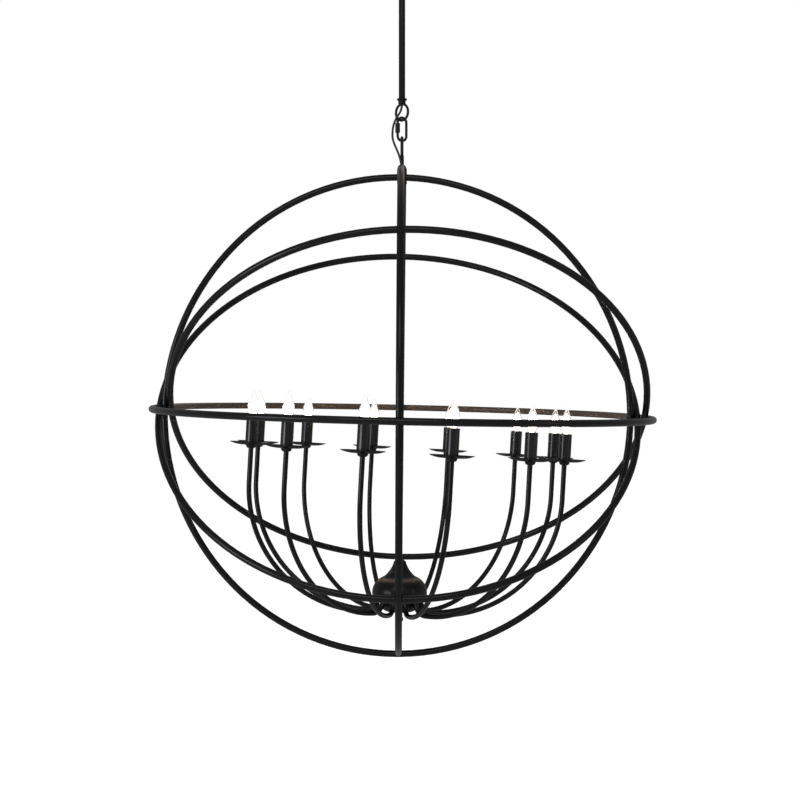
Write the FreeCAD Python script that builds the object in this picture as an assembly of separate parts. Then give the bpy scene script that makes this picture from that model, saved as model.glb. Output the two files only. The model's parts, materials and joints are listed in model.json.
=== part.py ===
import FreeCAD, Part
import math
import os

from FreeCAD import Vector

# Orb chandelier: five round-bar rings make an open globe, which hangs by a chain link from a ceiling rod.
# Inside it a slim stem carries a bell-shaped hub with J-shaped arms, drip pans, candle sleeves and bulbs.
# Millimetres. The origin is on the ceiling, on the rod's axis, with +Z up, so the object is below it.
# The camera side is -Y, and +X is to the right.

# Driving dimensions ---------------------------------------------------------------------------

slip_fit = 0.05              # radial room of a bore round the tube that it takes

globe_z = -953.0             # centre of the globe below the ceiling

bar_radius = 6.8             # round bar of the five rings
ring_seam_turn = 28.0        # degrees
belt_radius = 503.0          # the level ring round the outside
belt_centre = (1.5, -2.5)    # x, z from the globe's centre
belt_lean = 1.28             # degrees about Y: its right side is the lower one
belt_pitch = -0.1            # degrees about X
profile_radius = 486.3       # the ring that stands in the YZ plane
profile_centre = (-4.4, 4.6)
profile_lean = 0.30          # degrees about Y
profile_twist = 0.21         # degrees about Z
face_half_width = 472.3      # the ring that stands in the XZ plane hangs slightly tall
face_half_height = 483.3
face_centre = (-9.5, -8.2)
front_radius = 481.2         # the ring that is high at the front and low at the back
front_centre = (13.0, 4.8)
front_tilt = 45.4            # degrees from upright about X
back_radius = 483.7          # the ring that is high at the back and low at the front
back_centre = (-7.4, 2.8)
back_tilt = -46.2
back_twist = 1.29            # degrees about Y

bar_thickness = 2.5          # mounting bar across the outlet box
bar_length = 104.0
bar_width = 19.0
bar_hole_spacing = 88.9
bar_hole_radius = 2.6

canopy_radius = 63.5
canopy_height = 35.0
canopy_wall = 1.2
canopy_hole_radius = 7.2
collar_height = 10.0
collar_radius = 11.5
collar_bore_radius = 6.8

nipple_radius = 4.75
nipple_bore_radius = 3.6
nipple_length = 16.0
coupling_top = -6.0
coupling_bottom = -30.0
coupling_half_flats = 9.0

rod_radius = 6.5
rod_bore_radius = 5.0
rod_top = -18.0
rod_length = 304.8
wire_radius = 2.25

rod_end_flange_radius = 10.5
rod_end_neck_radius = 7.5
loop_bar_radius = 2.6
loop_radius = 16.4
loop_turn = -42.0            # degrees about Z from the XZ plane
loop_stub_radius = 4.5
loop_wire_hole_radius = 2.7
link_bar_radius = 2.65
link_half_width = 9.6
link_height = 46.6           # between the centre lines of its two ends
link_turn = 25.0
link_gap = 8.0
link_nut_radius = 4.9
link_nut_length = 19.0
hang_clearance = 0.3         # between two bars where one rests in the other
eye_bar_radius = 3.2
eye_half_width = 7.5
eye_neck_radius = 4.0
eye_neck_length = 19.0       # up to the centre line of the eye's foot
eye_stub_radius = 3.0
eye_stub_length = 5.0

crown_radius = 10.0
crown_top = 500.0            # from the globe's centre
crown_height = 38.0
crown_wall = 2.2
crown_roof = 8.0
crown_bush_height = 8.0      # the thick foot that centres the stem
crown_wire_hole = (-1.5, -6.7)
crown_wire_hole_radius = 2.6

stem_radius = 5.0
stem_bore_radius = 3.6
stem_lean = 0.6              # degrees about Y: its foot hangs to the left
stem_offset = 4.2            # of its axis from the crown's, at the height of the crown's top
stem_overlap = 10.0          # how far the stem goes down into the hub

cluster_top = -300.0         # top of the hub's bell, from the globe's centre
bell_wall = 1.4
bell_radius = 55.8
bell_height = 70.0
bell_bore_radius = 5.6
drum_radius = 53.6
drum_rim = -60.0
drum_floor = -82.0
drum_floor_thickness = 3.0
drum_wall = 2.0
locknut_thickness = 5.0
coupling_foot = -26.0        # of the sleeve that joins the stem to the hub's tube
hub_tube_top = -14.5
hub_tube_foot = -113.0

arm_lean = 3.15              # degrees about Y at the drum's floor: the arms hang slightly out of level
arm_pitch = -1.95            # degrees about X: the front candles are the higher ones
arm_radius = 5.0
arm_bore_radius = 4.0
candle_circle_radius = 321.0
arm_bend_radius = 250.0
arm_bend_top = 144.0
arm_hook_radius = 26.0
arm_top = 222.0
arm_inner_end = -72.0
arm_foot_radius = candle_circle_radius - arm_bend_radius - arm_hook_radius
arm_nut_radius = 6.2
arm_nut_height = 3.5
arm_nut_reach = 50.3         # the nuts are cut off here to clear the drum's wall
cap_radius = 38.5
cap_height = 23.0
cap_recess = 2.0             # how far the finial's neck goes up into the cap
finial_neck_radius = 9.0
finial_ball_radius = 8.0
finial_ball_height = -120.5
arm_angles = [18.2, 43.4, 73.8, 104.3, 133.5, 166.2, 193.7, 224.0, 255.0, 284.8, 316.7, 346.6]

pan_level = 218.0            # underside of the drip pans, from the top of the bell
pan_radius = 42.5
pan_flat_radius = 15.0
pan_rise = 5.0
pan_thickness = 1.0
ferrule_height = 6.5
ferrule_top_radius = 10.5
ferrule_foot_radius = 6.0
sleeve_radius = 12.3
sleeve_bore_radius = 11.3
sleeve_top = 273.6
socket_radius = 10.6
socket_top = 267.0
socket_floor = 243.0
bulb_screw_radius = 5.9
socket_bore_radius = 6.05
bulb_tip = 329.0
bulb_radius = 11.8
glass_wall = 0.8

# General shapes -------------------------------------------------------------------------------

origin = Vector(0, 0, 0)
up = Vector(0, 0, 1)
across = Vector(1, 0, 0)
away = Vector(0, 1, 0)


def in_globe(x, y, z):
    """A point measured from the globe's centre."""
    return Vector(x, y, z + globe_z)


def leant(axis_start, about, degrees):
    """The direction axis_start after a turn about another one."""
    return FreeCAD.Rotation(about, degrees).multVec(axis_start)


def rod_solid(radius, low, high, centre=(0, 0)):
    return Part.makeCylinder(radius, high - low, Vector(centre[0], centre[1], low), up)


def tube_solid(radius, bore, low, high, centre=(0, 0)):
    """An upright tube that is open at both ends."""
    return rod_solid(radius, low, high, centre).cut(rod_solid(bore, low - 1, high + 1, centre))


def line(start, end):
    return Part.LineSegment(Vector(start[0], 0, start[1]), Vector(end[0], 0, end[1])).toShape()


def arc(start, middle, end):
    points = [Vector(point[0], 0, point[1]) for point in (start, middle, end)]
    return Part.Arc(*points).toShape()


def turned(edges):
    """A solid of revolution about Z from a closed outline of (radius, z) edges."""
    face = Part.Face(Part.Wire(edges))
    return face.revolve(origin, up, 360)


def turned_lines(points):
    """A solid of revolution about Z from an outline with straight sides."""
    closed = list(points) + [points[0]]
    return turned([line(a, b) for a, b in zip(closed, closed[1:])])


def bend(centre, axis, start, bar, bore, degrees):
    """Part of a ring of round bar or tube that starts at a point and turns about an axis."""
    arm = start.sub(centre)
    tangent = axis.cross(arm)
    face = Part.Face(Part.Wire(Part.makeCircle(bar, start, tangent)))
    if bore:
        face = face.cut(Part.Face(Part.Wire(Part.makeCircle(bore, start, tangent))))
    return face.revolve(centre, axis, degrees)


def oblong_ring(half_width, height, bar):
    """A chain link in the XZ plane about the origin; height is between its end centre lines."""
    straight = height / 2 - half_width
    legs = [rod_solid(bar, -straight, straight, (side * half_width, 0)) for side in (-1, 1)]
    top = bend(Vector(0, 0, straight), away, Vector(-half_width, 0, straight), bar, 0, 180)
    bottom = bend(Vector(0, 0, -straight), away, Vector(half_width, 0, -straight), bar, 0, 180)
    return legs[0].fuse([legs[1], top, bottom]).removeSplitter()


def moved(shape, offset):
    copy = shape.copy()
    copy.translate(offset)
    return copy


def turned_about(shape, centre, axis, degrees):
    copy = shape.copy()
    copy.rotate(centre, axis, degrees)
    return copy


def largest(shape):
    """The largest solid of a shape, without the slivers that a cut can leave."""
    return max(shape.Solids, key=lambda solid: solid.Volume)


def save(name, shape):
    shape.exportStep("parts/" + name + ".step")
    solids = shape.Solids
    volume = sum(solid.Volume for solid in solids)
    print(f"{name}: {len(solids)} solid(s), {volume:.0f} mm3, valid {shape.isValid()}")


# Ceiling plate, rod and their fittings --------------------------------------------------------

def mounting_bar():
    bar = Part.makeBox(bar_length, bar_width, bar_thickness, Vector(-bar_length / 2, -bar_width / 2, -bar_thickness))
    corner = bar_width / 2 - 0.5
    uprights = [edge for edge in bar.Edges if abs(edge.tangentAt(edge.FirstParameter).z) > 0.9]
    bar = bar.makeFillet(corner, uprights)
    for side in (-1, 1):
        bar = bar.cut(rod_solid(bar_hole_radius, -bar_thickness - 1, 1, (side * bar_hole_spacing / 2, 0)))
    return bar.cut(rod_solid(nipple_radius, -bar_thickness - 1, 1))


def ground_screw():
    """Earth screw that hangs from the mounting bar, with a slotted head."""
    place = (25.0, 0)
    shank = rod_solid(2.0, -bar_thickness - 6.0, -bar_thickness, place)
    head = rod_solid(4.0, -bar_thickness - 9.0, -bar_thickness - 6.0, place)
    slot = Part.makeBox(10, 1.2, 1.5, Vector(place[0] - 5, -0.6, -bar_thickness - 9.0))
    return shank.fuse(head).cut(slot)


def nipple():
    return tube_solid(nipple_radius, nipple_bore_radius, -nipple_length, 0)


def rod_coupling():
    """Hexagon coupling from the nipple to the rod."""
    corners = [
        Vector(math.cos(math.radians(60 * i)), math.sin(math.radians(60 * i)), 0) * (coupling_half_flats / 0.866)
        for i in range(7)
    ]
    face = Part.Face(Part.makePolygon(corners))
    prism = moved(face.extrude(Vector(0, 0, coupling_top - coupling_bottom)), Vector(0, 0, coupling_bottom))
    prism = prism.cut(rod_solid(nipple_radius + slip_fit, -nipple_length, 1))
    prism = prism.cut(rod_solid(rod_radius + slip_fit, coupling_bottom - 1, rod_top))
    return prism.cut(rod_solid(nipple_bore_radius, rod_top - 1, -nipple_length + 1))


def down_rod():
    return tube_solid(rod_radius, rod_bore_radius, rod_top - rod_length, rod_top)


def canopy():
    """Spun cover over the outlet box, open at the ceiling."""
    wall = canopy_wall
    rim = canopy_radius
    floor = -canopy_height
    outer_edges = [
        line((canopy_hole_radius, floor), (22.0, floor)),
        arc((22.0, floor), (49.0, floor + 8.5), (rim, -6.0)),
        line((rim, -6.0), (rim, 0)),
    ]
    inner_edges = [
        line((rim, 0), (rim - wall, 0)),
        line((rim - wall, 0), (rim - wall, -5.5)),
        arc((rim - wall, -5.5), (48.2, floor + 9.6), (21.7, floor + wall)),
        line((21.7, floor + wall), (canopy_hole_radius, floor + wall)),
        line((canopy_hole_radius, floor + wall), (canopy_hole_radius, floor)),
    ]
    return turned(outer_edges + inner_edges)


def canopy_collar():
    """Slip ring that holds the canopy up, with a thread for its set screw."""
    top = -canopy_height
    bottom = top - collar_height
    edge = 1.5
    ring = turned_lines([
        (collar_bore_radius, top),
        (collar_radius, top),
        (collar_radius, bottom + edge),
        (collar_radius - edge, bottom),
        (collar_bore_radius, bottom),
    ])
    thread = Part.makeCylinder(1.5, collar_radius, Vector(0, 0, (top + bottom) / 2), Vector(0, -1, 0))
    return ring.cut(thread)


def canopy_set_screw():
    middle = -canopy_height - collar_height / 2
    toward = Vector(0, -1, 0)
    shank = Part.makeCylinder(1.45, 6.0, Vector(0, -collar_bore_radius, middle), toward)
    head = Part.makeCylinder(3.5, 4.5, Vector(0, -collar_bore_radius - 6.0, middle), toward)
    return shank.fuse(head)


rod_bottom = rod_top - rod_length
collar_top = rod_bottom + 5.0
loop_stub_top = rod_bottom - 1.0
rod_end_bottom = rod_bottom - 6.5
loop_centre_z = rod_end_bottom - loop_radius - 1.0


def rod_end_collar():
    """Flanged screw collar at the rod's foot."""
    r = rod_end_neck_radius
    flange = rod_end_flange_radius
    body = turned([
        line((0, collar_top), (r, collar_top)),
        line((r, collar_top), (flange - 1, collar_top - 1.5)),
        arc((flange - 1, collar_top - 1.5), (flange, collar_top - 3.0), (flange - 1, collar_top - 4.5)),
        line((flange - 1, collar_top - 4.5), (r, collar_top - 6.5)),
        line((r, collar_top - 6.5), (r, rod_end_bottom)),
        line((r, rod_end_bottom), (0, rod_end_bottom)),
        line((0, rod_end_bottom), (0, collar_top)),
    ])
    rod_seat = rod_solid(rod_radius + slip_fit, rod_bottom, collar_top + 1)
    stub_seat = rod_solid(loop_stub_radius + slip_fit, rod_end_bottom - 1, rod_bottom + 1)
    ring_slot = Part.makeTorus(loop_radius, loop_bar_radius + slip_fit, Vector(0, 0, loop_centre_z), away)
    return body.cut([rod_seat, stub_seat, turned_about(ring_slot, origin, up, loop_turn)])


def ring_loop():
    """Screw-in loop: a ring on a hollow stub, through which the wire leaves the rod."""
    ring = Part.makeTorus(loop_radius, loop_bar_radius, Vector(0, 0, loop_centre_z), away)
    stub_foot = loop_centre_z + loop_radius - loop_bar_radius
    loop = ring.fuse(rod_solid(loop_stub_radius, stub_foot, loop_stub_top))
    loop = loop.cut(rod_solid(loop_wire_hole_radius, stub_foot - 3, loop_stub_top + 1))
    return turned_about(largest(loop), origin, up, loop_turn)


loop_foot_z = loop_centre_z - loop_radius
link_top_z = loop_foot_z + loop_bar_radius + link_bar_radius + hang_clearance
link_centre_z = link_top_z - link_height / 2
link_foot_z = link_top_z - link_height
link_nut_z = link_centre_z + 2.0


def quick_link():
    """Chain link with an opening in its left leg, which the nut closes."""
    link = oblong_ring(link_half_width, link_height, link_bar_radius)
    gap_height = link_nut_z - link_centre_z
    gap = Part.makeBox(8, 8, link_gap, Vector(-link_half_width - 4, -4, gap_height - link_gap / 2))
    return turned_about(moved(link.cut(gap), Vector(0, 0, link_centre_z)), origin, up, link_turn)


def link_nut():
    """Hexagon-ended sleeve nut on the link's left leg."""
    half = link_nut_length / 2
    place = (-link_half_width, 0)
    sleeve = tube_solid(link_nut_radius, link_bar_radius + slip_fit, link_nut_z - half, link_nut_z + half, place)
    return turned_about(sleeve, origin, up, link_turn)


eye_top_z = link_foot_z + link_bar_radius + eye_bar_radius + hang_clearance
crown_top_z = globe_z + crown_top
crown_foot_z = crown_top_z - crown_height


def in_hang(shape):
    """Lean a piece of the stem by a hair about the top of the crown, and move it off the crown's axis."""
    return moved(turned_about(shape, in_globe(0, 0, crown_top), away, stem_lean), across * stem_offset)


def top_eye():
    """Oblong eye on a neck, with a stub that screws into the crown; it stands in the YZ plane."""
    eye_foot_z = crown_top_z + eye_neck_length
    height = eye_top_z - eye_foot_z
    eye = moved(oblong_ring(eye_half_width, height, eye_bar_radius), Vector(0, 0, (eye_top_z + eye_foot_z) / 2))
    eye = turned_about(eye, origin, up, 90)
    neck = rod_solid(eye_neck_radius, crown_top_z, eye_foot_z)
    stub = rod_solid(eye_stub_radius, crown_top_z - eye_stub_length, crown_top_z)
    return eye.fuse([neck, stub]).removeSplitter()


def crown_outside():
    """The crown without its hollows."""
    r = crown_radius
    top = crown_top_z
    foot = crown_foot_z
    return turned([
        line((0, top), (5.5, top)),
        arc((5.5, top), (8.5, top - 4.5), (r, top - 12.0)),
        line((r, top - 12.0), (r, foot)),
        line((r, foot), (0, foot)),
        line((0, foot), (0, top)),
    ])


def wire_way():
    """The hole for the wire; it also grooves the ring's end beside the crown."""
    return rod_solid(crown_wire_hole_radius, crown_top_z - 20, crown_top_z + 1, crown_wire_hole)


def crown():
    """Hollow cap that the two upright rings, the eye and the stem meet in."""
    top = crown_top_z
    foot = crown_foot_z
    cavity = rod_solid(crown_radius - crown_wall, foot + crown_bush_height, top - crown_roof - stem_radius)
    stem_seat = in_hang(rod_solid(stem_radius + slip_fit, foot - 1, top - crown_roof))
    stub_seat = rod_solid(eye_stub_radius + slip_fit, top - eye_stub_length - 0.5, top + 1)
    return crown_outside().cut([cavity, stem_seat, wire_way(), stub_seat])


def stem():
    foot = globe_z + cluster_top - stem_overlap
    return in_hang(tube_solid(stem_radius, stem_bore_radius, foot, crown_top_z - crown_roof - 0.5))


# The five rings -------------------------------------------------------------------------------

def ring(radius, centre, normal):
    """A whole ring of bar, turned in its own plane so that its seam is away from the crossings."""
    middle = in_globe(centre[0], 0, centre[1])
    return turned_about(Part.makeTorus(radius, bar_radius, middle, normal), middle, normal, ring_seam_turn)


def profile_ring_whole():
    return ring(profile_radius, profile_centre, leant(leant(across, up, profile_twist), away, profile_lean))


def belt_ring_whole():
    return ring(belt_radius, belt_centre, leant(leant(up, across, belt_pitch), away, belt_lean))


def face_ring_whole():
    """Slightly tall ring in the XZ plane: four arcs that meet at 45 degrees."""
    stretch = (face_half_height - face_half_width) / (2 - math.sqrt(2))
    side_radius = face_half_width + stretch
    end_radius = face_half_height - stretch
    spread = (side_radius - end_radius) / math.sqrt(2)
    arcs = []
    for quarter, (radius, centre) in enumerate([
        (side_radius, Vector(-spread, 0, 0)),
        (end_radius, Vector(0, 0, spread)),
        (side_radius, Vector(spread, 0, 0)),
        (end_radius, Vector(0, 0, -spread)),
    ]):
        angle = math.radians(90 * quarter - 45)
        start = centre + Vector(math.cos(angle), 0, math.sin(angle)) * radius
        arcs.append(bend(centre, Vector(0, -1, 0), start, bar_radius, 0, 90))
    whole = arcs[0].fuse(arcs[1:]).removeSplitter()
    return moved(whole, in_globe(face_centre[0], 0, face_centre[1]))


def globe_rings():
    """The rings by name. Where two bars cross closer than a bar's width, the inner one is notched for the outer."""
    front_normal = leant(away, across, front_tilt)
    back_normal = leant(leant(away, across, back_tilt), away, back_twist)
    belt = belt_ring_whole()
    profile = profile_ring_whole()
    face = face_ring_whole()
    front = ring(front_radius, front_centre, front_normal)
    back = ring(back_radius, back_centre, back_normal)
    crown_block = crown_outside()
    return {
        "belt_ring": belt,
        "profile_ring": largest(profile.cut([crown_block, wire_way()])),
        "face_ring": largest(face.cut([crown_block, profile])),
        "front_high_ring": largest(front.cut([belt, profile, face])),
        "back_high_ring": largest(back.cut([belt, profile, face])),
    }


def belt_welds():
    """Short round plugs that join the belt to the ring inside it, at the front and the back."""
    plugs = []
    belt = belt_ring_whole()
    profile = profile_ring_whole()
    for side in (-1, 1):
        y = side * (belt_radius + profile_radius) / 2
        middle = in_globe(profile_centre[0] - y * math.sin(math.radians(profile_twist)), y, belt_centre[1])
        plug = Part.makeCylinder(4.5, 14.0, middle - Vector(0, 7.0, 0), away)
        plugs.append(largest(plug.cut([belt, profile])))
    return Part.makeCompound(plugs)


# The hub and its arms, built upright about Z with the bell's top at 0, then leant and moved -----

def in_hub(shape):
    """Put a piece of the hub on the stem's line."""
    return in_hang(moved(shape, in_globe(0, 0, cluster_top)))


def in_cluster(shape):
    """Lean the arms and candles about the middle of the drum's floor, which is on the stem's line."""
    pivot = Vector(0, 0, drum_floor)
    leaning = turned_about(turned_about(shape, pivot, away, arm_lean), pivot, across, arm_pitch)
    floor_below_crown = crown_top - cluster_top - drum_floor
    drift = stem_offset - floor_below_crown * math.sin(math.radians(stem_lean))
    return moved(leaning, in_globe(drift, 0, cluster_top))


def hub_bell():
    """Spun bell: a small knob, a hollow flare, a crease and a round shoulder."""
    w = bell_wall
    foot = -bell_height
    knob_top = (7.5, 0)
    knob_side = (13.2, -7.0)
    crease = (32.4, -33.7)
    shoulder_foot = (bell_radius, -63.0)
    knob_turn = (11.5, -2.5)
    flare_turn = (20.2, -20.7)
    shoulder_turn = (48.3, -44.9)

    def inward(point):
        return (point[0] - w, point[1] - w)

    outer_edges = [
        arc(knob_top, knob_turn, knob_side),
        arc(knob_side, flare_turn, crease),
        arc(crease, shoulder_turn, shoulder_foot),
        line(shoulder_foot, (bell_radius, foot)),
    ]
    inner_edges = [
        line((bell_radius, foot), (bell_radius - w, foot)),
        line((bell_radius - w, foot), inward(shoulder_foot)),
        arc(inward(shoulder_foot), inward(shoulder_turn), inward(crease)),
        arc(inward(crease), inward(flare_turn), inward(knob_side)),
        arc(inward(knob_side), inward(knob_turn), inward(knob_top)),
        line(inward(knob_top), (bell_bore_radius, -w)),
        line((bell_bore_radius, -w), (bell_bore_radius, 0)),
        line((bell_bore_radius, 0), knob_top),
    ]
    return in_hub(turned(outer_edges + inner_edges))


def stem_coupling():
    """Sleeve under the bell's knob that takes the stem from above and the hub's tube from below."""
    bore = stem_radius + slip_fit
    sleeve = turned_lines([(0, coupling_foot), (8.0, coupling_foot), (8.0, -5.0), (7.0, -4.0), (0, -4.0)])
    stem_seat = rod_solid(bore, -stem_overlap, 1)
    tube_seat = rod_solid(bore, coupling_foot - 1, hub_tube_top + 0.5)
    wire_way = rod_solid(3.0, hub_tube_top, -stem_overlap + 1)
    return in_hub(sleeve.cut([stem_seat, tube_seat, wire_way]))


def hub_tube():
    return in_hub(tube_solid(stem_radius, stem_bore_radius, hub_tube_foot, hub_tube_top))


def arm_feet(radius):
    """The last bend and the upright end of every arm as solid bars of that radius."""
    low_x = candle_circle_radius - arm_bend_radius
    hook_z = arm_bend_top - arm_bend_radius + arm_hook_radius
    hook = bend(Vector(low_x, 0, hook_z), away, Vector(low_x, 0, hook_z - arm_hook_radius), radius, 0, 90)
    foot = hook.fuse(rod_solid(radius, hook_z, arm_inner_end + 4, (arm_foot_radius, 0)))
    return [in_cluster(turned_about(foot, origin, up, angle)) for angle in arm_angles]


def hub_drum():
    """Cup that the arms stand in; its rim is inside the bell's skirt."""
    bore = stem_radius + slip_fit
    inside = drum_radius - drum_wall
    floor_top = drum_floor + drum_floor_thickness
    drum = turned_lines([
        (bore, drum_floor),
        (drum_radius - 4.0, drum_floor),
        (drum_radius, drum_floor + 4.0),
        (drum_radius, drum_rim),
        (inside, drum_rim),
        (inside, floor_top + 1.0),
        (inside - 1.0, floor_top),
        (bore, floor_top),
    ])
    return in_hub(drum).cut(arm_feet(arm_radius + slip_fit))


def hub_nuts():
    """Round nuts on the hub's tube, and a smaller one for each arm above the drum's floor."""
    floor_top = drum_floor + drum_floor_thickness
    bore = stem_radius + slip_fit
    lower = tube_solid(11.0, bore, floor_top, floor_top + locknut_thickness)
    upper = tube_solid(9.0, bore, coupling_foot - locknut_thickness, coupling_foot)
    arm_nut = rod_solid(arm_nut_radius, floor_top, floor_top + arm_nut_height, (arm_foot_radius, 0))
    arm_nut = arm_nut.common(rod_solid(arm_nut_reach, floor_top, floor_top + arm_nut_height))
    each = [in_hub(turned_about(arm_nut, origin, up, angle)) for angle in arm_angles]
    bored = [largest(nut.cut(foot)) for nut, foot in zip(each, arm_feet(arm_radius + slip_fit))]
    return Part.makeCompound([in_hub(lower), in_hub(upper)] + bored)


def hub_cap():
    """Turned bowl under the drum, with a recess below for the finial's neck."""
    top = drum_floor
    foot = top - cap_height
    bore = stem_radius + slip_fit
    r = cap_radius
    bowl = turned([
        line((bore, top), (r, top)),
        line((r, top), (r, top - 7.0)),
        arc((r, top - 7.0), (33.8, top - 18.0), (21.0, foot)),
        line((21.0, foot), (bore, foot)),
        line((bore, foot), (bore, top)),
    ])
    return in_hub(bowl.cut(rod_solid(finial_neck_radius + slip_fit, foot - 1, foot + cap_recess)))


def finial():
    """Ball nut under the hub."""
    foot_of_cap = drum_floor - cap_height
    top = foot_of_cap + cap_recess
    ball = Part.makeSphere(finial_ball_radius, Vector(0, 0, finial_ball_height))
    neck = turned([
        line((0, top), (finial_neck_radius, top)),
        line((finial_neck_radius, top), (finial_neck_radius, foot_of_cap)),
        arc((finial_neck_radius, foot_of_cap), (6.4, foot_of_cap - 3.0), (5.8, foot_of_cap - 6.0)),
        arc((5.8, foot_of_cap - 6.0), (6.8, foot_of_cap - 8.0), (5.8, foot_of_cap - 10.0)),
        line((5.8, foot_of_cap - 10.0), (0, foot_of_cap - 10.0)),
        line((0, foot_of_cap - 10.0), (0, top)),
    ])
    tip = rod_solid(1.6, finial_ball_height - finial_ball_radius - 2.0, finial_ball_height)
    seat = rod_solid(stem_radius + slip_fit, hub_tube_foot - 0.5, top + 1)
    return in_hub(ball.fuse([neck, tip]).cut(seat))


def arm_at(angle):
    """J-shaped tube: down from the candle, round a wide bend and up into the drum."""
    outer_x = candle_circle_radius
    low_x = outer_x - arm_bend_radius
    hook_x = low_x - arm_hook_radius
    hook_z = arm_bend_top - arm_bend_radius + arm_hook_radius
    upper = tube_solid(arm_radius, arm_bore_radius, arm_bend_top, arm_top, (outer_x, 0))
    wide = bend(Vector(low_x, 0, arm_bend_top), away, Vector(outer_x, 0, arm_bend_top), arm_radius,
                arm_bore_radius, 90)
    hook = bend(Vector(low_x, 0, hook_z), away, Vector(low_x, 0, hook_z - arm_hook_radius), arm_radius,
                arm_bore_radius, 90)
    inner = tube_solid(arm_radius, arm_bore_radius, hook_z, arm_inner_end, (hook_x, 0))
    arm = upper.fuse([wide, hook, inner]).removeSplitter()
    return in_cluster(turned_about(arm, origin, up, angle))


def around(shape):
    """A copy of a candle's piece for each arm, as one group of separate solids."""
    at_first = moved(shape, Vector(candle_circle_radius, 0, 0))
    return in_cluster(Part.makeCompound([turned_about(at_first, origin, up, angle) for angle in arm_angles]))


def ferrule():
    """Tapered cup between the arm and the drip pan."""
    low = pan_level - ferrule_height
    bore = arm_radius + slip_fit
    return turned([
        line((bore, low), (ferrule_foot_radius, low)),
        arc((ferrule_foot_radius, low), (9.3, low + 2.2), (ferrule_top_radius, pan_level)),
        line((ferrule_top_radius, pan_level), (bore, pan_level)),
        line((bore, pan_level), (bore, low)),
    ])


def drip_pan():
    """Thin saucer with a raised edge."""
    low = pan_level
    rim = low + pan_rise
    bore = arm_radius + slip_fit
    t = pan_thickness
    return turned([
        line((bore, low), (pan_flat_radius, low)),
        arc((pan_flat_radius, low), (30.0, low + 1.2), (pan_radius, rim)),
        line((pan_radius, rim), (pan_radius - 0.4, rim + t)),
        arc((pan_radius - 0.4, rim + t), (29.8, low + 1.2 + t), (pan_flat_radius, low + t)),
        line((pan_flat_radius, low + t), (bore, low + t)),
        line((bore, low + t), (bore, low)),
    ])


def lamp_socket():
    """Candle socket: a foot that takes the arm's end, and a cup for the bulb's screw."""
    low = pan_level + pan_thickness
    body = rod_solid(socket_radius, low, socket_top)
    seat = rod_solid(arm_radius + slip_fit, low - 1, arm_top + 4)
    cup = rod_solid(socket_bore_radius, socket_floor, socket_top + 1)
    contact_way = rod_solid(2.0, arm_top, socket_floor + 1)
    return body.cut([seat, cup, contact_way])


def candle_sleeve():
    """Metal tube over the socket, with a rounded top edge."""
    low = pan_level + pan_thickness
    edge = 0.4
    return turned_lines([
        (sleeve_bore_radius, low),
        (sleeve_radius, low),
        (sleeve_radius, sleeve_top - edge),
        (sleeve_radius - edge, sleeve_top),
        (sleeve_bore_radius + edge, sleeve_top),
        (sleeve_bore_radius, sleeve_top - edge),
    ])


def bulb():
    """Flame-shaped lamp: a thin glass envelope that is open below, and the screw base that closes it."""
    neck = socket_top
    g = glass_wall
    throat = 6.6
    outer_edges = [
        line((throat - g, neck), (throat, neck)),
        arc((throat, neck), (7.6, neck + 7.5), (9.6, neck + 13.5)),
        arc((9.6, neck + 13.5), (bulb_radius, neck + 24.5), (8.4, neck + 39.0)),
        arc((8.4, neck + 39.0), (4.2, neck + 50.0), (1.6, bulb_tip - 1.2)),
        line((1.6, bulb_tip - 1.2), (0, bulb_tip)),
    ]
    inner_edges = [
        line((0, bulb_tip), (0, bulb_tip - 3.5)),
        line((0, bulb_tip - 3.5), (1.4, bulb_tip - 5.5)),
        arc((1.4, bulb_tip - 5.5), (3.4, neck + 49.0), (8.4 - g, neck + 38.6)),
        arc((8.4 - g, neck + 38.6), (bulb_radius - g, neck + 24.5), (9.6 - g, neck + 13.8)),
        arc((9.6 - g, neck + 13.8), (7.6 - g, neck + 7.7), (throat - g, neck)),
    ]
    glass = turned(outer_edges + inner_edges)
    tip_low = socket_floor + 2.0
    base = turned_lines([
        (0, tip_low),
        (2.5, tip_low),
        (bulb_screw_radius, tip_low + 3.0),
        (bulb_screw_radius, neck),
        (0, neck),
    ])
    return Part.makeCompound([glass, base])


def bulb_at(angle):
    at_first = moved(bulb(), Vector(candle_circle_radius, 0, 0))
    return in_cluster(turned_about(at_first, origin, up, angle))


# Wires ----------------------------------------------------------------------------------------

# The free cord from the rod to the crown, as x, y and z from the globe's centre, chosen by eye.
# It has two stretches, which meet face to face beside the link.
upper_route = [
    (0.0, 0.0, 621.0),
    (-1.2, -0.9, 611.5),
    (-5.8, -2.6, 602.5),
    (-11.5, -0.6, 594.5),
    (-15.9, 3.8, 585.0),
    (-18.8, 5.8, 575.2),
    (-19.2, 5.0, 566.5),
]
lower_route = [
    (-19.2, 5.0, 566.5),
    (-19.6, 4.2, 557.8),
    (-17.4, 1.2, 547.8),
    (-13.6, -2.2, 538.0),
    (-9.2, -5.0, 527.5),
    (-5.1, -6.7, 517.0),
    (-2.6, -7.0, 507.2),
    (-1.5, -6.7, 498.2),
    (-1.5, -6.7, 490.0),
]


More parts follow.
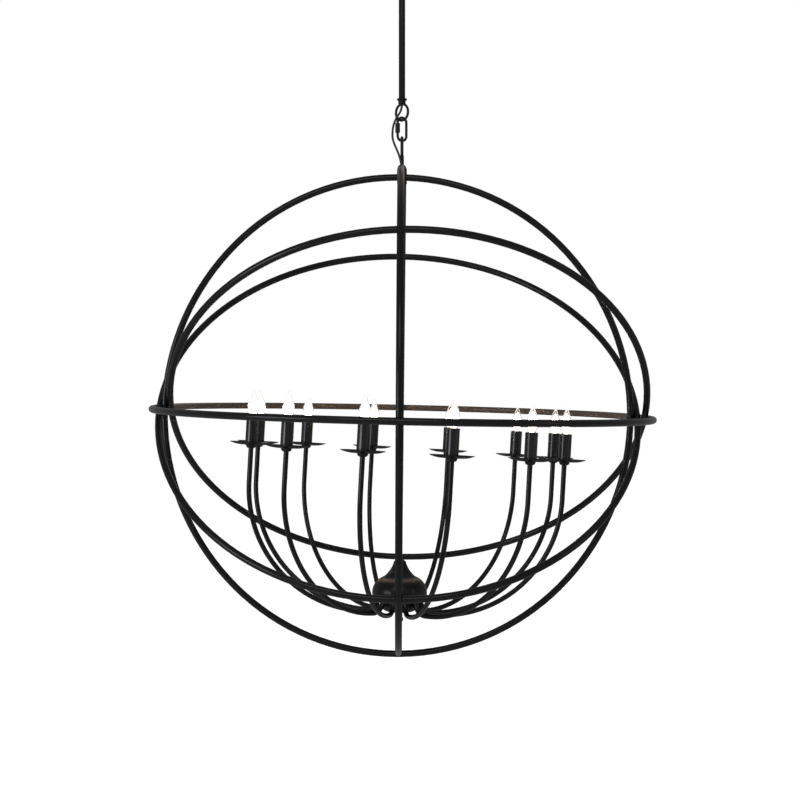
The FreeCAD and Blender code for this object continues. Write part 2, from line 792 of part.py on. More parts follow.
def rounded_path(points):
    """Straight runs and tangent arcs through a route's points; prints the least bend radius."""
    edges = []
    start = points[0]
    radii = []
    for before, corner, after in zip(points, points[1:], points[2:]):
        back = before.sub(corner)
        on = after.sub(corner)
        half_turn = (math.pi - back.getAngle(on)) / 2
        reach = 0.45 * min(back.Length, on.Length)
        radius = reach / math.tan(half_turn)
        radii.append(round(radius, 1))
        back.normalize()
        on.normalize()
        first = corner + back * reach
        last = corner + on * reach
        bisector = back + on
        bisector.normalize()
        centre = corner + bisector * (radius / math.cos(half_turn))
        towards_corner = corner.sub(centre)
        towards_corner.normalize()
        edges.append(Part.LineSegment(start, first).toShape())
        edges.append(Part.Arc(first, centre + towards_corner * radius, last).toShape())
        start = last
    edges.append(Part.LineSegment(start, points[-1]).toShape())
    print(f"  cord's bend radii in mm: {radii}")
    return Part.Wire(edges)


def cord_tube(route):
    points = [in_globe(*place) for place in route]
    path = rounded_path(points)
    profile = Part.Wire(Part.makeCircle(wire_radius, points[0], points[1].sub(points[0])))
    tube = path.makePipeShell([profile], True, False)
    section = math.pi * wire_radius ** 2
    print(f"  length {path.Length:.1f} mm, volume over section times length {tube.Volume / section / path.Length:.3f}")
    return tube


def rod_wire():
    """The wire inside the rod, down to where it comes out of the loop's stub."""
    return rod_solid(wire_radius, globe_z + upper_route[0][2], -2.0)


def stem_wire():
    return in_hang(rod_solid(wire_radius, globe_z + cluster_top - stem_overlap + 1.0, crown_top_z - crown_roof - 2.0))


# Write one file for each piece ----------------------------------------------------------------

os.makedirs("parts", exist_ok=True)

single_pieces = [
    mounting_bar, ground_screw, nipple, rod_coupling, down_rod, canopy, canopy_collar, canopy_set_screw,
    rod_end_collar, ring_loop, quick_link, link_nut, top_eye, crown, stem, belt_welds,
    hub_bell, stem_coupling, hub_tube, hub_drum, hub_nuts, hub_cap, finial, rod_wire, stem_wire,
]
for piece in single_pieces:
    save(piece.__name__, piece())

for name, solid in globe_rings().items():
    save(name, solid)

save("arm_ferrules", around(ferrule()))
save("drip_pans", around(drip_pan()))
save("lamp_sockets", around(lamp_socket()))
save("candle_sleeves", around(candle_sleeve()))

for number, angle in enumerate(arm_angles, 1):
    save(f"arm_{number:02d}", arm_at(angle))
    save(f"bulb_{number:02d}", bulb_at(angle))

save("feed_cord_upper", cord_tube(upper_route))
save("feed_cord_lower", cord_tube(lower_route))
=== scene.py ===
# %% [markdown]
# # Orb chandelier
#
# A globe of five black round-bar rings hangs by a chain link from a ceiling rod. Inside it a slim stem
# carries a spun hub with J-shaped arms, and each arm ends in a drip pan, a candle sleeve and a flame-shaped
# lamp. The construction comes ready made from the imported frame. This lesson dresses it: the finishes, the
# lamps with their glowing insides and the feed cord.

# %% Load the frame
import json
import math

import bmesh
import bpy
from mathutils import Matrix, Vector


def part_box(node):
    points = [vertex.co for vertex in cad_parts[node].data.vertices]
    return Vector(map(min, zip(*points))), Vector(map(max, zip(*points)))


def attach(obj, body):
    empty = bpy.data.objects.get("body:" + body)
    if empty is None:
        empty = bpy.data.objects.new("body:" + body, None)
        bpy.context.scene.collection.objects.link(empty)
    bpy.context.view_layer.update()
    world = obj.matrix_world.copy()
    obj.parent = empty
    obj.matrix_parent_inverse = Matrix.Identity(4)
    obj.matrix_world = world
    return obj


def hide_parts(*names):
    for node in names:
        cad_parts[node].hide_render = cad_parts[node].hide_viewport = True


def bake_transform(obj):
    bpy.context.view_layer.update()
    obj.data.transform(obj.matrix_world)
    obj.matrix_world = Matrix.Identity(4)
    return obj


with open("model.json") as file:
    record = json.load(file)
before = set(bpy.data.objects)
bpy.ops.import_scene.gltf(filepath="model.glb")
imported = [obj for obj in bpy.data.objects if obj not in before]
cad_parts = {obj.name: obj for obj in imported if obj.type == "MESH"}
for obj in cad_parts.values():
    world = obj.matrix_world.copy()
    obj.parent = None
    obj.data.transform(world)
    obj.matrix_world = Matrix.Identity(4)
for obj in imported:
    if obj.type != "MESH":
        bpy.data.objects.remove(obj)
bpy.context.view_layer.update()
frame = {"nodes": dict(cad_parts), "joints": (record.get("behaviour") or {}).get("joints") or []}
nodes = frame["nodes"]

# %% [markdown]
# Every size in this file is written in millimetres, as on a workshop drawing, and turned into the metres
# that Blender uses by one factor. The globe's centre is a fixed depth below the ceiling.

# %% Units and the globe's centre
MM = 0.001
GLOBE_Z = -953.0


def in_globe(x, y, z):
    """A point measured in millimetres from the globe's centre."""
    return Vector((x, y, z + GLOBE_Z)) * MM


print("globe centre:", tuple(in_globe(0, 0, 0)))

# %% [markdown]
# The photograph was taken from well back, a little above the globe's middle, with a long lens. The camera's
# place and its tilt were worked out from how the five rings cross, so it stands at that place here too.

# %% Camera
CAMERA_PLACE = (12.6, -3388.0, 96.4)
PITCH_DOWN = 0.0211
TURN_LEFT = 0.0049
LENS = 75.2

camera = bpy.data.objects.new("camera", bpy.data.cameras.new("camera"))
camera.data.lens = LENS
camera.data.sensor_width = 36.0
camera.data.clip_start = 0.05
camera.data.clip_end = 60.0
camera.location = in_globe(*CAMERA_PLACE)
camera.rotation_euler = (math.pi / 2 - PITCH_DOWN, 0, TURN_LEFT)
bpy.context.scene.collection.objects.link(camera)
bpy.context.scene.camera = camera
bpy.context.scene.view_settings.view_transform = "Standard"
print("camera:", tuple(round(c, 3) for c in camera.location))

# %% [markdown]
# ## Cords
#
# The feed cord leaves the loop under the rod, swings out beside the chain link and dives into the crown.
# A curve with a round bevel would do for a still picture, but this cord also has to bend when the link and
# the globe swing. So it is a mesh tube in two stretches, which meet beside the link.

# %% A smooth line through a route
CORD_DIAMETER = 4.5

UPPER_ROUTE = [
    (0.0, 0.0, 621.0),
    (-1.2, -0.9, 611.5),
    (-5.8, -2.6, 602.5),
    (-11.5, -0.6, 594.5),
    (-15.9, 3.8, 585.0),
    (-18.8, 5.8, 575.2),
    (-19.2, 5.0, 566.5),
]
LOWER_ROUTE = [
    (-19.2, 5.0, 566.5),
    (-19.6, 4.2, 557.8),
    (-17.4, 1.2, 547.8),
    (-13.6, -2.2, 538.0),
    (-9.2, -5.0, 527.5),
    (-5.1, -6.7, 517.0),
    (-2.6, -7.0, 507.2),
    (-1.5, -6.7, 498.2),
    (-1.5, -6.7, 490.0),
]


def spline_object(name, points, bevel=0.0):
    """A curve object with one smooth NURBS line that has the points as its control points."""
    curve = bpy.data.curves.new(name, "CURVE")
    curve.dimensions = "3D"
    curve.resolution_u = 8
    curve.bevel_depth = bevel
    curve.bevel_resolution = 6
    curve.use_fill_caps = bevel > 0
    spline = curve.splines.new("NURBS")
    spline.points.add(len(points) - 1)
    for control, point in zip(spline.points, points):
        control.co = (*point, 1.0)
    spline.order_u = 3
    spline.use_endpoint_u = True
    made = bpy.data.objects.new(name, curve)
    bpy.context.scene.collection.objects.link(made)
    return made


def mesh_of(curve_object):
    """The curve's mesh; the curve itself is deleted."""
    bpy.context.view_layer.update()
    evaluated = curve_object.evaluated_get(bpy.context.evaluated_depsgraph_get())
    mesh = bpy.data.meshes.new_from_object(evaluated)
    bpy.data.objects.remove(curve_object)
    return mesh


def line_points(points):
    mesh = mesh_of(spline_object("line", points))
    return [v.co.copy() for v in mesh.vertices]


def link_to_scene(name, mesh):
    made = bpy.data.objects.new(name, mesh)
    bpy.context.scene.collection.objects.link(made)
    return made


def smooth(mesh):
    mesh.polygons.foreach_set("use_smooth", [True] * len(mesh.polygons))
    return mesh


def free_cord(name, route, solid):
    """One stretch of the feed cord, a mesh tube along the route that takes the place of the frame's solid
    one.
    """
    control = [in_globe(*point) for point in route]
    line = line_points(control)
    tube = smooth(mesh_of(spline_object(name, control, CORD_DIAMETER / 2 * MM)))
    cord = link_to_scene(name, tube)
    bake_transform(cord)
    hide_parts(solid)
    return cord


upper_cord = free_cord("cord_upper", UPPER_ROUTE, "feed_cord_upper")
lower_cord = free_cord("cord_lower", LOWER_ROUTE, "feed_cord_lower")

# %% [markdown]
# ## Writing shaders as expressions
#
# A finish is a small formula: how rough, how dark, how dented the surface is from place to place. Linking
# nodes by hand hides that formula, so one class wraps a socket and lets plain arithmetic add the Math
# nodes. Colours are mixed with a Mix node, because a Math node would turn them grey.

# %% The socket class
class Value:
    """A socket of a material's node tree that can be used in arithmetic."""

    def __init__(self, finish, socket):
        self.finish = finish
        self.socket = socket

    def _math(self, operation, *terms):
        return self.finish.node("ShaderNodeMath", {"operation": operation}, dict(enumerate(terms)))

    def __add__(self, other):
        return self._math("ADD", self, other)

    def __sub__(self, other):
        return self._math("SUBTRACT", self, other)

    def __rsub__(self, other):
        return self._math("SUBTRACT", other, self)

    def __mul__(self, other):
        return self._math("MULTIPLY", self, other)

    def __truediv__(self, other):
        return self._math("DIVIDE", self, other)

    def __rtruediv__(self, other):
        return self._math("DIVIDE", other, self)

    def __pow__(self, other):
        return self._math("POWER", self, other)

    __radd__ = __add__
    __rmul__ = __mul__

    def sine(self):
        return self._math("SINE", self)

    def clamped(self):
        return self.finish.node("ShaderNodeClamp", {}, {"Value": self})

    def between(self, low, high):
        """0 where the value is under low, 1 where it is over high, smooth in between."""
        settings = {"interpolation_type": "SMOOTHSTEP"}
        inputs = {"Value": self, "From Min": low, "From Max": high}
        return self.finish.node("ShaderNodeMapRange", settings, inputs)


class Finish:
    """A material that is built up node by node around one Principled shader."""

    def __init__(self, name):
        self.material = bpy.data.materials.new(name)
        self.material.use_nodes = True
        self.tree = self.material.node_tree
        self.shader = self.tree.nodes["Principled BSDF"]

    def node(self, kind, settings, inputs, output=0):
        """Adds a node: its settings first, then the values or links of its sockets."""
        made = self.tree.nodes.new(kind)
        for key, setting in settings.items():
            setattr(made, key, setting)
        for key, value in inputs.items():
            self.feed(made.inputs[key], value)
        return Value(self, made.outputs[output])

    def feed(self, socket, value):
        if isinstance(value, Value):
            self.tree.links.new(value.socket, socket)
        else:
            socket.default_value = value

    def set(self, **inputs):
        """Sets sockets of the main shader; underscores in a name stand for spaces."""
        for key, value in inputs.items():
            self.feed(self.shader.inputs[key.replace("_", " ")], value)
        return self

    def place(self):
        """The object's own coordinates, in metres, which are the same in every view."""
        return self.node("ShaderNodeTexCoord", {}, {}, "Object")

    def parts_of(self, vector):
        separate = self.node("ShaderNodeSeparateXYZ", {}, {"Vector": vector})
        outputs = separate.socket.node.outputs
        return [Value(self, outputs[axis]) for axis in ("X", "Y", "Z")]

    def noise(self, scale, detail=3.0, roughness=0.55, vector=None):
        """Soft noise with that many blotches to the metre."""
        inputs = {"Vector": vector or self.place(), "Scale": scale, "Detail": detail, "Roughness": roughness}
        return self.node("ShaderNodeTexNoise", {}, inputs, "Fac")

    def stretched(self, x, y, z):
        """The object's coordinates scaled apart along each axis, for streaks."""
        settings = {"operation": "MULTIPLY"}
        return self.node("ShaderNodeVectorMath", settings, {0: self.place(), 1: (x, y, z)})

    def mixed(self, factor, first, second):
        """first where factor is 0 and second where it is 1; both are colours."""
        made = self.tree.nodes.new("ShaderNodeMix")
        made.data_type = "RGBA"
        self.feed(made.inputs["Factor"], factor)
        self.feed(made.inputs[6], first)
        self.feed(made.inputs[7], second)
        return Value(self, made.outputs[2])

    def bumped(self, height, depth, strength=1.0):
        """A normal from a height; depth is the height of 1, in metres."""
        return self.node("ShaderNodeBump", {}, {"Height": height, "Distance": depth, "Strength": strength})


print("shader class ready")

# %% [markdown]
# ## Finishes
#
# The whole light is black, but not all of it in the same way. The rings and arms have a satin coat over
# drawn bar, a bit rougher where dust has settled. The spun hub has brown patches that also stand in for a
# brown sheen, and a painted brown highlight under its crease; the crown and the top of the upright ring get a
# painted brown sheen, and the inside of the belt painted warm lamplight. The candle sleeves are the
# smoothest, and the chain hardware is dark metal that was tumbled.

# %% Black coats
BLACK = (0.0018, 0.0017, 0.0017, 1.0)
SOFT_BLACK = (0.0042, 0.0038, 0.0036, 1.0)
# Brown for the random patches, and for the sheen, highlight and lamplight that are painted into the coat.
PATCH_AND_PAINTED_LIGHT_BROWN = (0.115, 0.074, 0.052, 1.0)
DUST = (0.024, 0.022, 0.021, 1.0)
BELT_RADIUS = 503.0          # of the ring that lies level round the globe, in millimetres


def black_coat(name, roughness, brown=0.06, gloss=0.18, streaks=(1, 1, 1), painted_light_mask=None):
    """Dull black pigment under a thin clear layer: cloudy gloss, brown patches, fine orange peel and dust.

    The pigment itself doesn't shine. gloss is how much of it the clear layer covers. The brown patches fall
    at random, and strong ones also stand in for a brown sheen. The last argument is a function that takes the
    finish and returns where more brown goes in; the ones here paint in a brown sheen, warm lamplight and a
    highlight.
    """
    finish = Finish(name)
    clouds = finish.noise(38.0, detail=4.0, vector=finish.stretched(*streaks))
    grain = finish.noise(900.0, detail=2.0)
    patches = finish.noise(240.0).between(0.35, 0.75)
    # Random brown patches; strong ones also stand in for a brown sheen, as painted sheen.
    patches_and_painted_light = (clouds.between(0.56, 0.74) * patches) * brown
    # Brown painted in as light, where a mask for it is given.
    if painted_light_mask:
        patches_and_painted_light = (patches_and_painted_light + painted_light_mask(finish) * (patches * 0.5 + 0.5)).clamped()
    specks = finish.noise(2600.0, detail=0.0).between(0.70, 0.76) * 0.3
    coat = finish.mixed(clouds, BLACK, SOFT_BLACK)
    coat = finish.mixed(patches_and_painted_light, coat, PATCH_AND_PAINTED_LIGHT_BROWN)
    coat = finish.mixed(specks, coat, DUST)
    peel = finish.noise(420.0, detail=2.0) * 0.7 + grain * 0.3
    finish.set(
        Base_Color=coat,
        Roughness=roughness + (clouds - 0.5) * 0.16 + specks * 0.4,
        Normal=finish.bumped(peel, 0.00002, 0.5),
        Specular_IOR_Level=0.0,
        Coat_Weight=gloss * (1.15 - clouds * 0.3 - specks),
        Coat_Roughness=roughness,
        Coat_IOR=1.5,
    )
    return finish


def spun_coat(name, node, roughness, brown=0.5, painted_light_mask=None):
    """The black coat over sheet that was spun on a lathe: faint rings round the piece's own axis."""
    finish = black_coat(name, roughness, brown, painted_light_mask=painted_light_mask)
    low, high = (Vector(corner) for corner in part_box(node))
    centre = (low + high) / 2
    from_axis = {0: finish.place(), 1: tuple(centre)}
    x, y, _ = finish.parts_of(finish.node("ShaderNodeVectorMath", {"operation": "SUBTRACT"}, from_axis))
    radius = (x * x + y * y) ** 0.5
    turned = (radius * 7000.0).sine() * 0.5 + finish.noise(120.0) * 0.5
    finish.set(Normal=finish.bumped(turned, 0.00002, 0.5))
    return finish


def height_of(finish):
    """Height above the globe's centre in millimetres."""
    _, _, height = finish.parts_of(finish.place())
    return height / MM - GLOBE_Z


def painted_top_sheen_and_brown_foot(finish):
    """A painted brown sheen near the top, and a browner coat near the bottom."""
    height = height_of(finish)
    return height.between(380.0, 500.0) * 0.3 + (1 - height.between(-478.0, -440.0)) * 0.5


def painted_lamplight_inside(finish):
    """Painted warm lamplight: brown on the side of the belt that faces the lamps."""
    x, y, _ = finish.parts_of(finish.place())
    radius = (x * x + y * y) ** 0.5 / MM
    return (1 - radius.between(BELT_RADIUS - 5.5, BELT_RADIUS - 1.0)) * 0.9


def painted_crease_highlight(finish):
    """A painted brown highlight: a line just under the bell's crease."""
    height = height_of(finish)
    line = height.between(-343.0, -338.0) * (1 - height.between(-337.0, -333.0))
    return line * 0.95


ring_black = black_coat("ring_black", 0.18)
# The belt's inside gets painted warm lamplight.
belt_black = black_coat("belt_black", 0.20, painted_light_mask=painted_lamplight_inside)
# The upright ring gets a painted brown sheen at its top and a browner coat at its foot.
upright_black = black_coat("upright_black", 0.20, gloss=0.13, painted_light_mask=painted_top_sheen_and_brown_foot)
arm_black = black_coat("arm_black", 0.18, streaks=(1, 1, 0.35))
rod_black = black_coat("rod_black", 0.20, streaks=(1, 1, 0.2))
sleeve_black = black_coat("sleeve_black", 0.20, brown=0.05, gloss=0.36)
# The hub gets a painted brown highlight under its crease, and its strong brown patches also stand in for a
# brown sheen.
hub_black = spun_coat("hub_black", "hub_bell", 0.26, brown=0.45, painted_light_mask=painted_crease_highlight)
pan_black = black_coat("pan_black", 0.33, brown=0.22, gloss=0.10)
canopy_black = spun_coat("canopy_black", "canopy", 0.32, brown=0.3)
# The crown's strong brown patches and its brown top are painted brown sheen.
crown_black = black_coat("crown_black", 0.34, brown=0.6, gloss=0.07, painted_light_mask=painted_top_sheen_and_brown_foot)
print("black coats:", ring_black.material.name, "to", crown_black.material.name)

# %% [markdown]
# The chain hardware was coated in a barrel: darker in its pits and a little brighter on the knocks. The
# pieces inside the canopy and the hub are plated steel, and the earth screw is dyed green.

# %% Hardware and plated steel
def tumbled_black(name):
    """Dark tumbled metal with shallow pits and small bright knocks."""
    finish = Finish(name)
    pits = finish.noise(700.0, detail=3.0)
    knocks = finish.noise(320.0, detail=1.0).between(0.66, 0.74)
    finish.set(
        Base_Color=finish.mixed(knocks * 0.6, SOFT_BLACK, (0.045, 0.043, 0.042, 1.0)),
        Metallic=knocks * 0.3,
        Roughness=0.34 + pits * 0.12 - knocks * 0.1,
        Normal=finish.bumped(pits, 0.00006, 0.6),
        Specular_IOR_Level=0.08,
    )
    return finish


def plated(name, colour, tarnish):
    """Zinc or dyed plating: bright metal with cloudy tarnish and fine drawing lines."""
    finish = Finish(name)
    clouds = finish.noise(90.0, detail=4.0)
    lines = finish.noise(500.0, detail=2.0, vector=finish.stretched(1, 1, 0.05))
    finish.set(
        Base_Color=finish.mixed(clouds.between(0.35, 0.7), colour, tarnish),
        Metallic=1.0,
        Roughness=0.24 + clouds * 0.22,
        Normal=finish.bumped(lines, 0.00003, 0.5),
    )
    return finish


chain_black = tumbled_black("chain_black")
zinc = plated("zinc", (0.60, 0.60, 0.58, 1.0), (0.38, 0.38, 0.36, 1.0))
earth_green = plated("earth_green", (0.12, 0.42, 0.14, 1.0), (0.07, 0.24, 0.10, 1.0))
lamp_brass = plated("lamp_brass", (0.78, 0.58, 0.28, 1.0), (0.50, 0.34, 0.16, 1.0))
print("hardware finishes ready")

# %% [markdown]
# The sockets' plastic, the cord's cover and the ring round the lamp's contact were all moulded, so they share
# one recipe: soft clouds of colour and a fine matte grain.

# %% Plastics and the cord's cover
def moulded(name, colour, shade, roughness, grain_depth, specular=0.5):
    """A moulded surface: slight colour clouds and a fine matte grain."""
    finish = Finish(name)
    clouds = finish.noise(60.0, detail=3.0)
    finish.set(
        Base_Color=finish.mixed(clouds, colour, shade),
        Roughness=roughness + (clouds - 0.5) * 0.12,
        Normal=finish.bumped(finish.noise(1500.0, detail=1.0), grain_depth, 0.5),
        Specular_IOR_Level=specular,
    )
    return finish


socket_ivory = moulded("socket_ivory", (0.80, 0.76, 0.66, 1.0), (0.70, 0.65, 0.54, 1.0), 0.55, 0.00005)
cord_black = moulded(
    "cord_black", (0.006, 0.006, 0.0065, 1.0), (0.010, 0.010, 0.011, 1.0), 0.40, 0.00002, specular=0.15,
)
lamp_insulator = moulded("lamp_insulator", (0.02, 0.02, 0.03, 1.0), (0.04, 0.03, 0.03, 1.0), 0.25, 0.00002)
print("moulded finishes ready")

# %% [markdown]
# ## Dressing the frame
#
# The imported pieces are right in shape, so they keep their solids and only get a finish. A table from
# finish to pieces reads like the order for the paint shop.

# %% Finish for each piece
INNER_RINGS = ["face_ring", "front_high_ring", "back_high_ring"]
ARM_NAMES = sorted(name for name in nodes if name.startswith("arm_") and name[4:].isdigit())
BULB_NAMES = sorted(name for name in nodes if name.startswith("bulb_"))

paint_list = [
    (ring_black, INNER_RINGS + ["belt_welds"]),
    (belt_black, ["belt_ring"]),
    (upright_black, ["profile_ring"]),
    (arm_black, ARM_NAMES + ["arm_ferrules"]),
    (rod_black, ["down_rod", "rod_end_collar", "stem"]),
    (crown_black, ["crown"]),
    (hub_black, ["hub_bell", "hub_drum", "hub_cap", "finial"]),
    (pan_black, ["drip_pans"]),
    (canopy_black, ["canopy", "canopy_collar"]),
    (sleeve_black, ["candle_sleeves"]),
    (chain_black, ["ring_loop", "quick_link", "link_nut", "top_eye", "canopy_set_screw"]),
    (zinc, ["mounting_bar", "nipple", "rod_coupling", "stem_coupling", "hub_tube", "hub_nuts"]),
    (earth_green, ["ground_screw"]),
    (socket_ivory, ["lamp_sockets"]),
    (cord_black, ["rod_wire", "stem_wire"]),
]


def dress(piece, finish):
    piece.data.materials.clear()
    piece.data.materials.append(finish.material)


for finish, names in paint_list:
    for name in names:
        dress(nodes[name], finish)
for cord in (upper_cord, lower_cord):
    dress(cord, cord_black)
print("dressed:", sum(len(names) for _, names in paint_list), "frame pieces")

# %% [markdown]
# ## Lamps
#
# Each lamp is a clear flame-shaped envelope on a brass screw cap. Lit, its inside is so bright that only
# the clear tip shows an outline, so inside the glass a smaller flame-shaped body carries the glow. The
# glass is a real shell with an inner and an outer wall, because a single skin would not bend light.

# %% Turned shapes
def smooth_profile(knots, steps=5):
    """More points on a smooth curve through a few (radius, height) knots."""
    ends = [knots[0]] + list(knots) + [knots[-1]]
    points = []
    for a, b, c, d in zip(ends, ends[1:], ends[2:], ends[3:]):
        for i in range(steps):
            t = i / steps
            points.append(tuple(
                0.5 * (
                    2 * q + (r - p) * t
                    + (2 * p - 5 * q + 4 * r - s) * t ** 2
                    + (3 * q - p - 3 * r + s) * t ** 3
                )
                for p, q, r, s in zip(a, b, c, d)
            ))
    points.append(tuple(knots[-1]))
    return points


def turned_mesh(name, profile, sides=40):
    """A mesh turned about Z from (radius, height) points in millimetres."""
    shape = bmesh.new()
    rings = []
    for radius, height in profile:
        if radius < 1e-6:
            rings.append([shape.verts.new((0, 0, height * MM))])
            continue
        ring = []
        for i in range(sides):
            angle = 2 * math.pi * i / sides
            ring.append(shape.verts.new((
                radius * math.cos(angle) * MM, radius * math.sin(angle) * MM, height * MM,
            )))
        rings.append(ring)
    for lower, upper in zip(rings, rings[1:]):
        for i in range(sides):
            j = (i + 1) % sides
            below = [lower[i % len(lower)], lower[j % len(lower)]]
            above = [upper[j % len(upper)], upper[i % len(upper)]]
            corners = list(dict.fromkeys(below + above))
            if len(corners) > 2:
                shape.faces.new(corners)
    bmesh.ops.recalc_face_normals(shape, faces=shape.faces)
    mesh = bpy.data.meshes.new(name)
    shape.to_mesh(mesh)
    shape.free()
    return smooth(mesh)


def perpendicular_axes(direction):
    side = direction.cross(Vector((0, 1, 0))).normalized()
    return side, direction.cross(side).normalized()


def axis_frame(node, direction):
    """The transform that puts a turned mesh on a turned node's axis, with its foot at the node's foot."""
    side, other = perpendicular_axes(direction)
    places = [v.co for v in nodes[node].data.vertices]

    def middle(axis):
        along = [place.dot(axis) for place in places]
        return (min(along) + max(along)) / 2

    foot = min(place.dot(direction) for place in places)
    origin = side * middle(side) + other * middle(other) + direction * foot
    columns = Matrix((side, other, direction)).transposed().to_4x4()
    if columns.determinant() < 0:
        columns = Matrix((side, -other, direction)).transposed().to_4x4()
    return Matrix.Translation(origin) @ columns


print("turning tools ready")

# %% [markdown]
# The glass is clear with a slight ripple. The glow is a plain emitter, white above and dim and warm at its
# foot, where a real lamp has its glass stem.

# %% Lamp finishes
GLOW_STRENGTH = 18.0
CAP_TOP = 22.0
LAMP_TIP = 84.0
GLASS_WALL = 0.7
GLOW_FOOT = 27.0
GLOW_TIP = 68.0


def clear_glass():
    """Thin clear glass with the faint ripple of blown bulbs."""
    finish = Finish("lamp_glass")
    ripple = finish.noise(140.0, detail=1.0)
    finish.set(
        Base_Color=(1.0, 0.965, 0.925, 1.0),
        Roughness=finish.noise(500.0).between(0.6, 0.9) * 0.04,
        Normal=finish.bumped(ripple, 0.00004, 0.4),
        IOR=1.45,
        Transmission_Weight=1.0,
    )
    return finish


def lamp_glow(foot, tip):
    """White-hot above and dimmer and warmer at the cap; foot and tip are heights along the lamp in metres."""
    finish = Finish("lamp_glow")
    _, _, height = finish.parts_of(finish.place())
    warm = 1 - height.between(foot, foot + (tip - foot) * 0.28)
    finish.set(
        Base_Color=(0.9, 0.85, 0.75, 1.0),
        Emission_Color=finish.mixed(warm, (1.0, 0.93, 0.82, 1.0), (0.046, 0.031, 0.020, 1.0)),
        Emission_Strength=GLOW_STRENGTH,
    )
    return finish


lamp_glass = clear_glass()
glow = lamp_glow(GLOW_FOOT * MM, GLOW_TIP * MM)
print("lamp finishes ready")

# %% [markdown]
# A lamp has five turned pieces: the glass, the glow inside it, the cap, the rolled thread on the cap and the
# contact below. Their outlines are short lists of knots, and the thread is a grid that climbs as it turns, so
# that its crest is one real helix.

# %% The lamp's turned meshes
OUTER_GLASS = [
    (6.6, CAP_TOP + 0.3), (7.0, 26.0), (8.3, 32.0), (10.6, 39.0), (11.7, 46.5), (10.9, 54.5),
    (8.2, 62.5), (5.3, 70.0), (2.9, 77.5), (1.3, 82.4), (0.0, LAMP_TIP),
]


def glass_shell():
    """Outer wall up to the tip and inner wall back down, closed by a narrow rim at the neck."""
    outer = smooth_profile(OUTER_GLASS)
    inner = [(radius - GLASS_WALL, height) for radius, height in outer if radius > GLASS_WALL + 0.9]
    crown_of_inside = (0.0, inner[-1][1] + 1.6)
    return turned_mesh("lamp_glass", outer[::-1] + inner + [crown_of_inside])


def glow_body():
    knots = [(0.0, GLOW_FOOT), (3.4, GLOW_FOOT + 1.0), (5.6, 33.0), (8.0, 40.0), (8.9, 46.5), (8.0, 53.5),
             (5.4, 60.5), (2.6, 65.5), (0.0, GLOW_TIP)]
    return turned_mesh("lamp_glow", smooth_profile(knots, 4), 28)


def rolled_thread():
    """A grid wound round the cap: height grows with the angle, so the crests make one long helix."""
    pitch, turns, sides, rows = 2.4, 5, 48, 10
    low, deep, crest = 4.2, 5.2, 5.8
    shape = bmesh.new()
    columns = []
    for i in range(sides * turns + 1):
        angle = 2 * math.pi * i / sides
        rise = pitch * i / sides
        column = []
        for k in range(rows + 1):
            wave = 0.5 - 0.5 * math.cos(2 * math.pi * k / rows)
            radius = deep + (crest - deep) * wave
            height = low + rise + pitch * k / rows
            column.append(shape.verts.new((
                radius * math.cos(angle) * MM, radius * math.sin(angle) * MM, height * MM,
            )))
        columns.append(column)
    for left, right in zip(columns, columns[1:]):
        for k in range(rows):
            shape.faces.new((left[k], right[k], right[k + 1], left[k + 1]))
    bmesh.ops.remove_doubles(shape, verts=shape.verts, dist=1e-7)
    bmesh.ops.recalc_face_normals(shape, faces=shape.faces)
    mesh = bpy.data.meshes.new("lamp_thread")
    shape.to_mesh(mesh)
    shape.free()
    return smooth(mesh)


def cap_ends():
    """The cap's plain collar above the thread, which widens above the socket's rim, and its rounded skirt."""
    collar = [(5.2, 4.2), (5.25, 18.0), (5.85, 18.6), (5.85, CAP_TOP + 0.2), (6.3, CAP_TOP + 0.5),
              (6.3, CAP_TOP + 1.0), (5.6, CAP_TOP + 1.2), (0.0, CAP_TOP + 1.3)]
    skirt = [(0.0, 1.9), (3.4, 2.0), (4.8, 3.0), (5.2, 4.2)]
    return turned_mesh("lamp_cap", skirt + collar[1:])


def contact_tip():
    return turned_mesh("lamp_contact", [(0.0, 0.0), (1.7, 0.25), (2.4, 1.1), (3.3, 2.05), (0.0, 2.4)], 24)


lamp_meshes = {"glass": glass_shell(), "glow": glow_body(), "cap": cap_ends(), "thread": rolled_thread(),
               "tip": contact_tip()}
lamp_finish = {"glass": lamp_glass, "glow": glow, "cap": lamp_brass, "thread": lamp_brass,
               "tip": lamp_insulator}
for part, mesh in lamp_meshes.items():
    mesh.materials.append(lamp_finish[part].material)
print("lamp meshes:", {part: len(mesh.polygons) for part, mesh in lamp_meshes.items()})

# %% [markdown]
# Every candle leans a hair with its arm, so each lamp is stood on the axis of its own joint. It rides on its
# own body, which lets it come out of the socket, and it stands in for the frame's plain lamp.

# %% A lamp in each socket
lamp_joints = [joint for joint in frame["joints"] if joint["name"].startswith("unscrew")]
lamp_axes = {joint["child"]: Vector(joint["axis"]) for joint in lamp_joints}

for name in BULB_NAMES:
    number = name[-2:]
    body = "lamp_" + number
    seat = axis_frame(name, lamp_axes[body].normalized())
    for part, mesh in lamp_meshes.items():
        piece = link_to_scene(f"lamp_{part}_{number}", mesh)
        piece.matrix_world = seat
        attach(piece, body)
        if part == "glass":
            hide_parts(name)
print("lamps:", len(BULB_NAMES))

# %% [markdown]
# ## Stage
#
# The photograph has a plain white ground. The world is white where the camera, a gloss or a glass looks at
# it, and dimmer where it only lights the object. The floor is pale and takes the soft shadow of the globe.
# A round bar shows a lamp only where it mirrors it: the upright bars show the key lamp, which is level with
# them on the left, and the level bars show the top lamp, which is straight ahead of them and higher.

# %% World, floor and lamps
FLOOR_DEPTH = -2050.0
WORLD_LIGHT = 0.32
FLOOR_LIFT = 0.74            # what the floor adds for the eye, so that it is as white as the world behind it


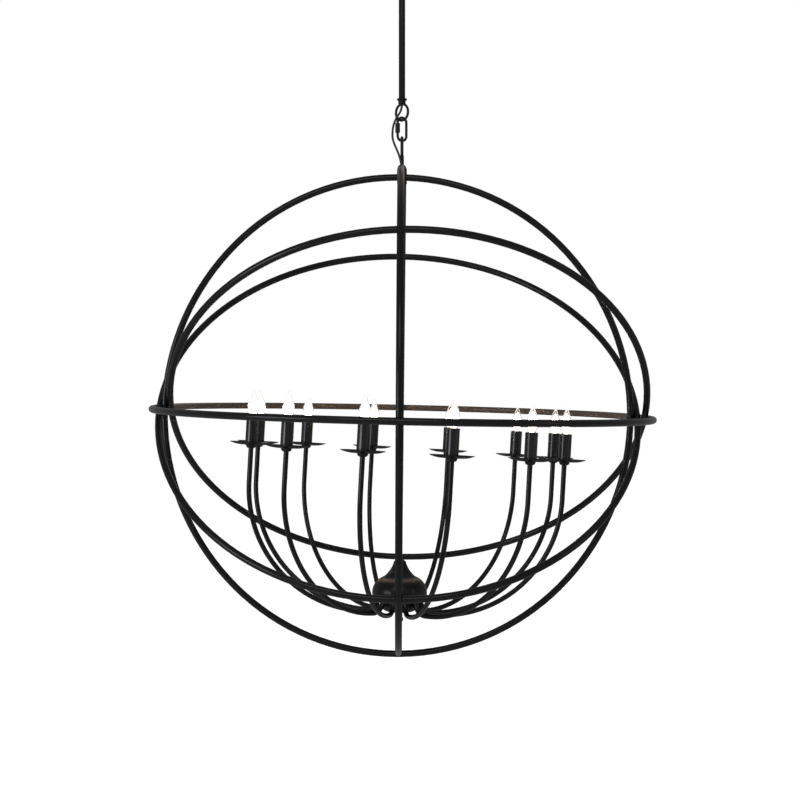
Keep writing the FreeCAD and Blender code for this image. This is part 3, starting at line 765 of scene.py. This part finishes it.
def white_for_the_eye(tree, otherwise, white):
    """One colour on rays from the camera, or that came by gloss or glass, and another one on the rest."""
    path = tree.nodes.new("ShaderNodeLightPath")
    seen = path.outputs["Is Camera Ray"]
    for kind in ("Is Glossy Ray", "Is Transmission Ray"):
        either = tree.nodes.new("ShaderNodeMath")
        either.operation = "MAXIMUM"
        tree.links.new(seen, either.inputs[0])
        tree.links.new(path.outputs[kind], either.inputs[1])
        seen = either.outputs[0]
    mix = tree.nodes.new("ShaderNodeMix")
    mix.data_type = "RGBA"
    tree.links.new(seen, mix.inputs["Factor"])
    mix.inputs[6].default_value = otherwise
    mix.inputs[7].default_value = white
    return mix.outputs[2]


def grey(level):
    return (level, level, level, 1.0)


def set_world():
    world = bpy.data.worlds.new("studio")
    bpy.context.scene.world = world
    world.use_nodes = True
    tree = world.node_tree
    colour = white_for_the_eye(tree, grey(WORLD_LIGHT), grey(1.0))
    tree.links.new(colour, tree.nodes["Background"].inputs["Color"])


def set_floor():
    finish = Finish("floor_white")
    lift = Value(finish, white_for_the_eye(finish.tree, grey(0.0), grey(FLOOR_LIFT)))
    finish.set(Base_Color=grey(0.80), Roughness=0.9, Emission_Color=lift, Emission_Strength=1.0)
    mesh = bpy.data.meshes.new("floor")
    half = 14.0
    corners = [(-half, -half, 0), (half, -half, 0), (half, half, 0), (-half, half, 0)]
    mesh.from_pydata(corners, [], [(0, 1, 2, 3)])
    floor = link_to_scene("floor", mesh)
    floor.location.z = FLOOR_DEPTH * MM
    dress(floor, finish)


def soft_lamp(name, place, target, size, watts, colour):
    light = bpy.data.lights.new(name, "AREA")
    light.shape = "RECTANGLE"
    light.size, light.size_y = size
    light.energy = watts
    light.color = colour
    lamp = bpy.data.objects.new(name, light)
    lamp.location = in_globe(*place)
    aim = in_globe(*target) - lamp.location
    lamp.rotation_euler = aim.to_track_quat("-Z", "Y").to_euler()
    bpy.context.scene.collection.objects.link(lamp)


set_world()
set_floor()
soft_lamp("key", (-2800, -2200, 250), (0, 0, 0), (1.6, 1.3), 95.0, (0.84, 0.93, 1.0))
soft_lamp("top", (-300, -2700, 1900), (0, 0, 0), (2.2, 1.0), 50.0, (0.90, 0.96, 1.0))
soft_lamp("fill", (2800, -1500, 500), (0, 0, 0), (0.5, 1.4), 7.0, (1.0, 0.88, 0.76))
soft_lamp("back", (600, 2800, 1600), (0, 0, 0), (1.6, 1.2), 8.0, (1.0, 1.0, 1.0))
print("stage set")
